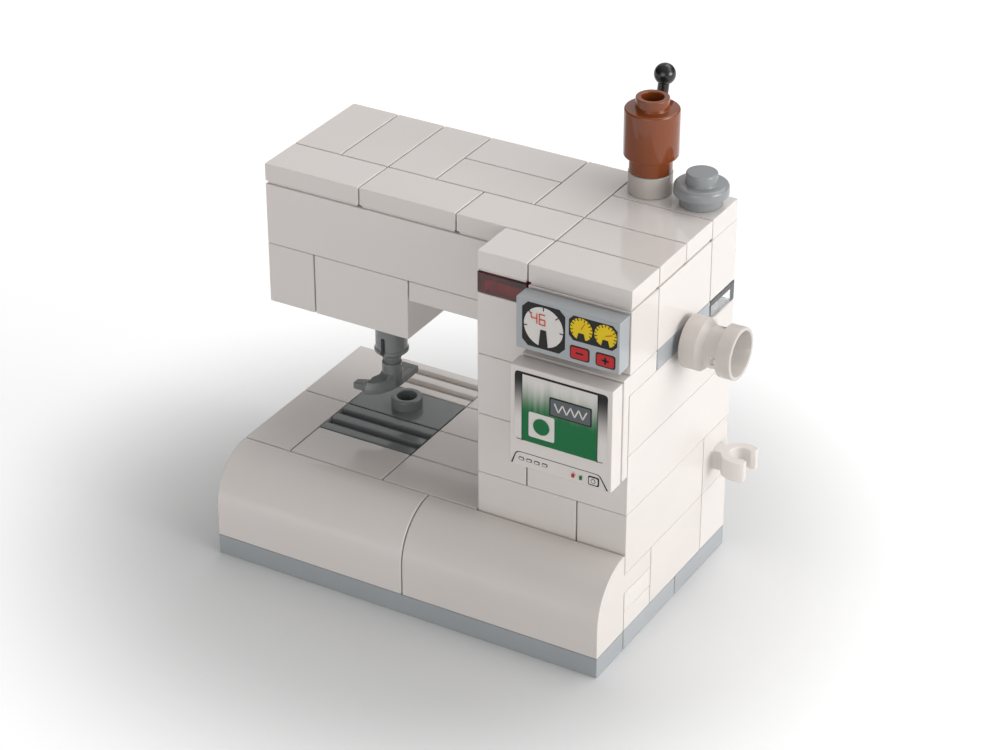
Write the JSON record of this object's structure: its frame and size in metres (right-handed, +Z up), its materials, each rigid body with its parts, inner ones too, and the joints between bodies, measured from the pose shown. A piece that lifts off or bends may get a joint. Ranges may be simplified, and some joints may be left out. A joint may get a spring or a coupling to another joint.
{
  "type": "building brick sewing machine",
  "caption": "Toy sewing machine built of stud-and-tube bricks, plates and tiles, with a handwheel, thread spool, knob and lever, and a sliding presser foot on a half pin.",
  "frame": {"origin": "middle of the whole outline, on the table", "axes": "+X along the machine towards its handwheel, +Y towards its back, +Z up"},
  "size_m": [0.0726, 0.0445, 0.0739],
  "materials": {
    "white_plastic": "moulded, glossy",
    "light_grey_plastic": "moulded, glossy",
    "dark_grey_plastic": "moulded, glossy",
    "pin_grey_plastic": "moulded, satin",
    "white_wheel_plastic": "moulded, glossy",
    "brown_plastic": "moulded, glossy",
    "black_plastic": "moulded, glossy",
    "clear_plastic": "clear, polished",
    "clear_red_plastic": "clear red, polished"
  },
  "bodies": {
    "machine": {"curved_front_left": "white_plastic", "curved_front_right": "white_plastic", "ledge_plate_lower": "white_plastic", "ledge_plate_upper": "white_plastic", "body_brick_middle": "white_plastic", "body_brick_rear": "white_plastic", "bed_tile_left_front": "white_plastic", "bed_tile_left_rear": "white_plastic", "bed_tile_needle_front": "white_plastic", "feed_grille_white": "white_plastic", "bed_tile_throat_1": "white_plastic", "bed_tile_throat_2": "white_plastic", "bed_tile_throat_3": "white_plastic", "bed_tile_throat_4": "white_plastic", "tower_brick_lower": "white_plastic", "tower_side_lower": "white_plastic", "clip_brick": "white_plastic", "tower_brick_middle": "white_plastic", "tower_side_middle": "white_plastic", "tower_brick_upper": "white_plastic", "tower_side_upper": "white_plastic", "screen_bracket": "white_plastic", "screen_tile": "white_plastic", "gauge_brick": "white_plastic", "indicator_brick": "white_plastic", "head_end_brick": "white_plastic", "head_brick": "white_plastic", "arm_plate": "white_plastic", "beam_brick_front": "white_plastic", "beam_brick_rear": "white_plastic", "top_tile_front_1": "white_plastic", "top_tile_front_2": "white_plastic", "top_tile_front_3": "white_plastic", "top_tile_front_4": "white_plastic", "top_tile_head_1": "white_plastic", "top_tile_head_2": "white_plastic", "top_tile_head_3": "white_plastic", "top_tile_arm_1": "white_plastic", "top_tile_arm_2": "white_plastic", "top_tile_cross": "white_plastic", "top_tile_spool_front": "white_plastic", "top_plate_spool": "white_plastic", "top_tile_lamp": "white_plastic", "top_tile_gauge": "white_plastic", "spool_base": "white_plastic", "base_front_plate": "light_grey_plastic", "base_middle_plate": "light_grey_plastic", "base_rear_plate": "light_grey_plastic", "gauge_panel": "light_grey_plastic", "handwheel_plate": "light_grey_plastic", "feed_grille_dark": "dark_grey_plastic", "needle_plate_jumper": "dark_grey_plastic", "clear_plate": "clear_plastic", "indicator_lamp": "clear_red_plastic"},
    "handwheel": {"handwheel": "white_wheel_plastic"},
    "thread_spool": {"thread_spool": "brown_plastic"},
    "knob": {"knob": "light_grey_plastic"},
    "lever": {"lever": "black_plastic"},
    "needle_pin": {"needle_pin": "pin_grey_plastic"},
    "presser_foot": {"presser_foot": "pin_grey_plastic"}
  },
  "joints": [
    {"name": "handwheel_spin", "type": "hinge", "parent": "machine", "child": "handwheel", "pos_m": [0.03157, 0.00164, 0.04285], "axis": [1, 0, 0], "continuous": true},
    {"name": "spool_spin", "type": "hinge", "parent": "machine", "child": "thread_spool", "pos_m": [0.01558, 0.01364, 0.062], "axis": [0, 0, 1], "continuous": true},
    {"name": "knob_spin", "type": "hinge", "parent": "machine", "child": "knob", "pos_m": [0.02357, 0.01364, 0.059], "axis": [0, 0, 1], "continuous": true},
    {"name": "lever_tilt", "type": "hinge", "parent": "machine", "child": "lever", "pos_m": [0.01383, 0.01784, 0.0596], "axis": [-1, 0, 0], "range_deg": [-3, 65]},
    {"name": "pin_swivel", "type": "hinge", "parent": "machine", "child": "needle_pin", "pos_m": [-0.02042, 0.00164, 0.032], "axis": [0, 0, 1], "continuous": true},
    {"name": "foot_slide", "type": "slide", "parent": "needle_pin", "child": "presser_foot", "axis": [0, 0, 1], "range_m": [-0.0032, 0.003]}
  ]
}
